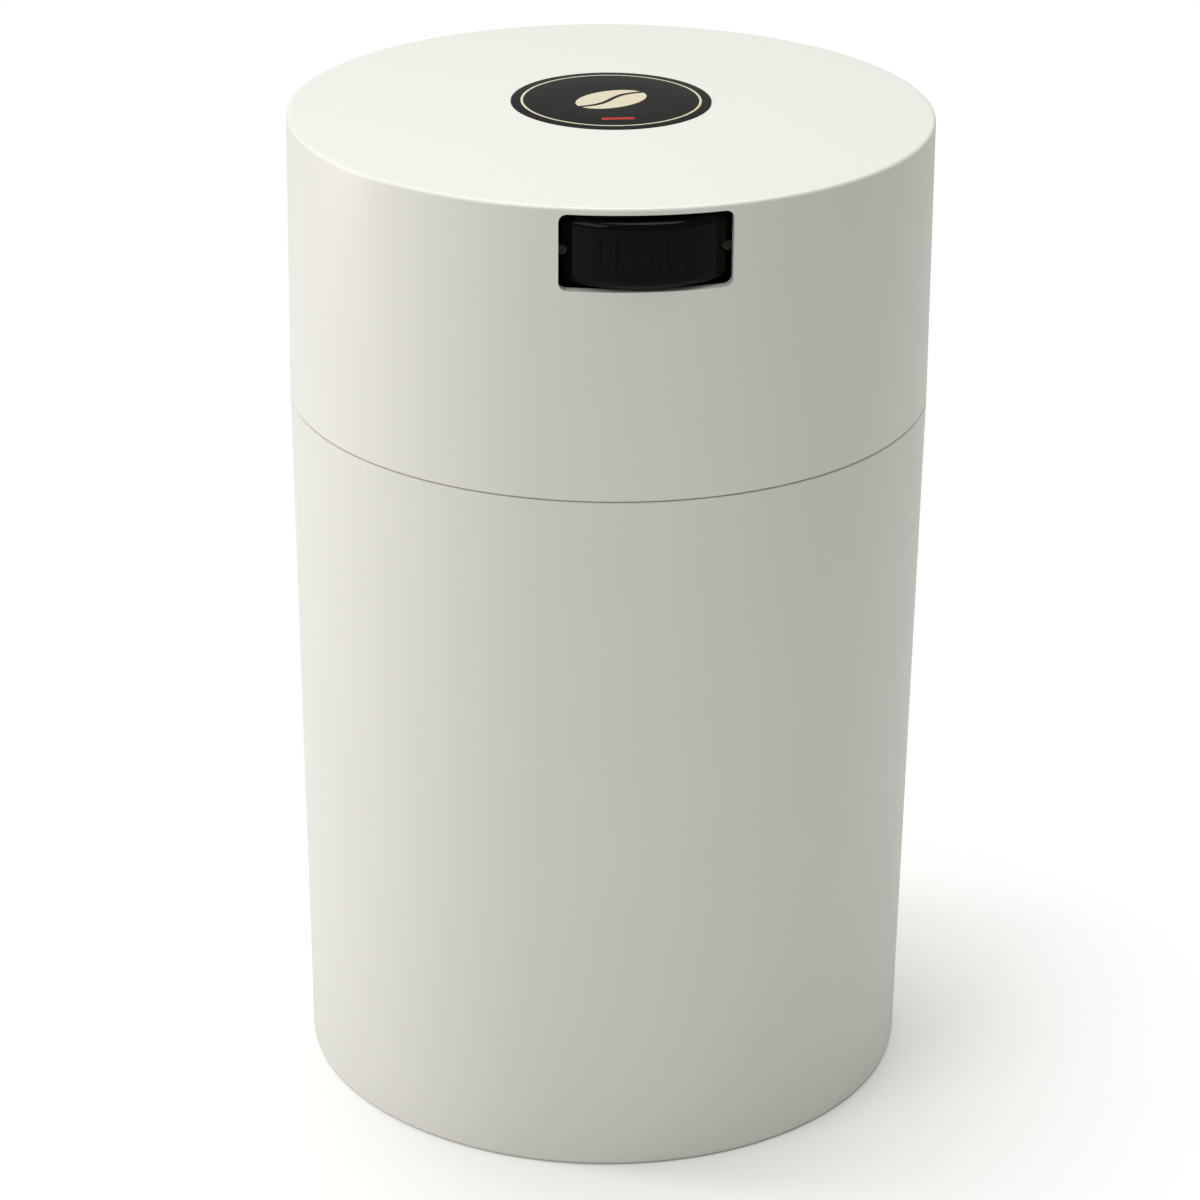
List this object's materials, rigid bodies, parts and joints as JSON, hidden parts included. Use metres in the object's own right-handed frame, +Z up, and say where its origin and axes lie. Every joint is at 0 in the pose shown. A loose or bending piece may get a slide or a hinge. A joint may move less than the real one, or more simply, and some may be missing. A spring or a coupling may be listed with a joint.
{
  "type": "coffee canister",
  "caption": "Round white plastic coffee canister with a deep slip-over cap, a sealing plate that runs in its neck, and a black push button that opens a small air valve.",
  "frame": {"origin": "centre of the base, on the surface that the canister stands on", "axes": "+Z up along the canister's axis, -Y towards the front, where the push button is, +X to the right seen from the front"},
  "size_m": [0.1206, 0.1218, 0.1926],
  "materials": {
    "canister_white": "moulded, semi-gloss",
    "cap_white": "moulded, semi-gloss",
    "label_black": "printed vinyl",
    "plate_natural": "moulded, satin",
    "frame_black": "moulded, matt",
    "button_black": "moulded, high gloss",
    "stem_natural": "moulded, satin",
    "silicone_grey": "soft, matt",
    "spring_steel": "drawn wire",
    "steel": "zinc plated"
  },
  "bodies": {
    "canister": {"body": "canister_white"},
    "seal": {"seal_ring": "silicone_grey"},
    "cap": {"lid_shell": "cap_white", "lid_label": "label_black", "inner_plate": "plate_natural", "button_frame": "frame_black", "frame_screws": "steel", "button_spring": "spring_steel", "valve_spring": "spring_steel"},
    "button": {"press_button": "button_black"},
    "valve": {"valve_stem": "stem_natural", "cross_pin": "steel", "valve_pad": "silicone_grey"}
  },
  "joints": [
    {"name": "cap_lift", "type": "slide", "parent": "canister", "child": "seal", "axis": [0, 0, 1], "range_m": [0, 0.12]},
    {"name": "cap_turn", "type": "hinge", "parent": "seal", "child": "cap", "pos_m": [0, 0, 0.16], "axis": [0, 0, 1], "continuous": true},
    {"name": "button_press", "type": "slide", "parent": "cap", "child": "button", "axis": [0, 1, 0], "range_m": [0, 0.0035], "stiffness_N_per_m": 800, "springref_m": -0.003, "deforming": ["button_spring"]},
    {"name": "valve_lift", "type": "slide", "parent": "cap", "child": "valve", "axis": [0, 0, 1], "range_m": [0, 0.002], "deforming": ["valve_spring"]}
  ],
  "couplings": [
    {"joint": "valve_lift", "follows": "button_press", "ratio": 0.57143}
  ]
}
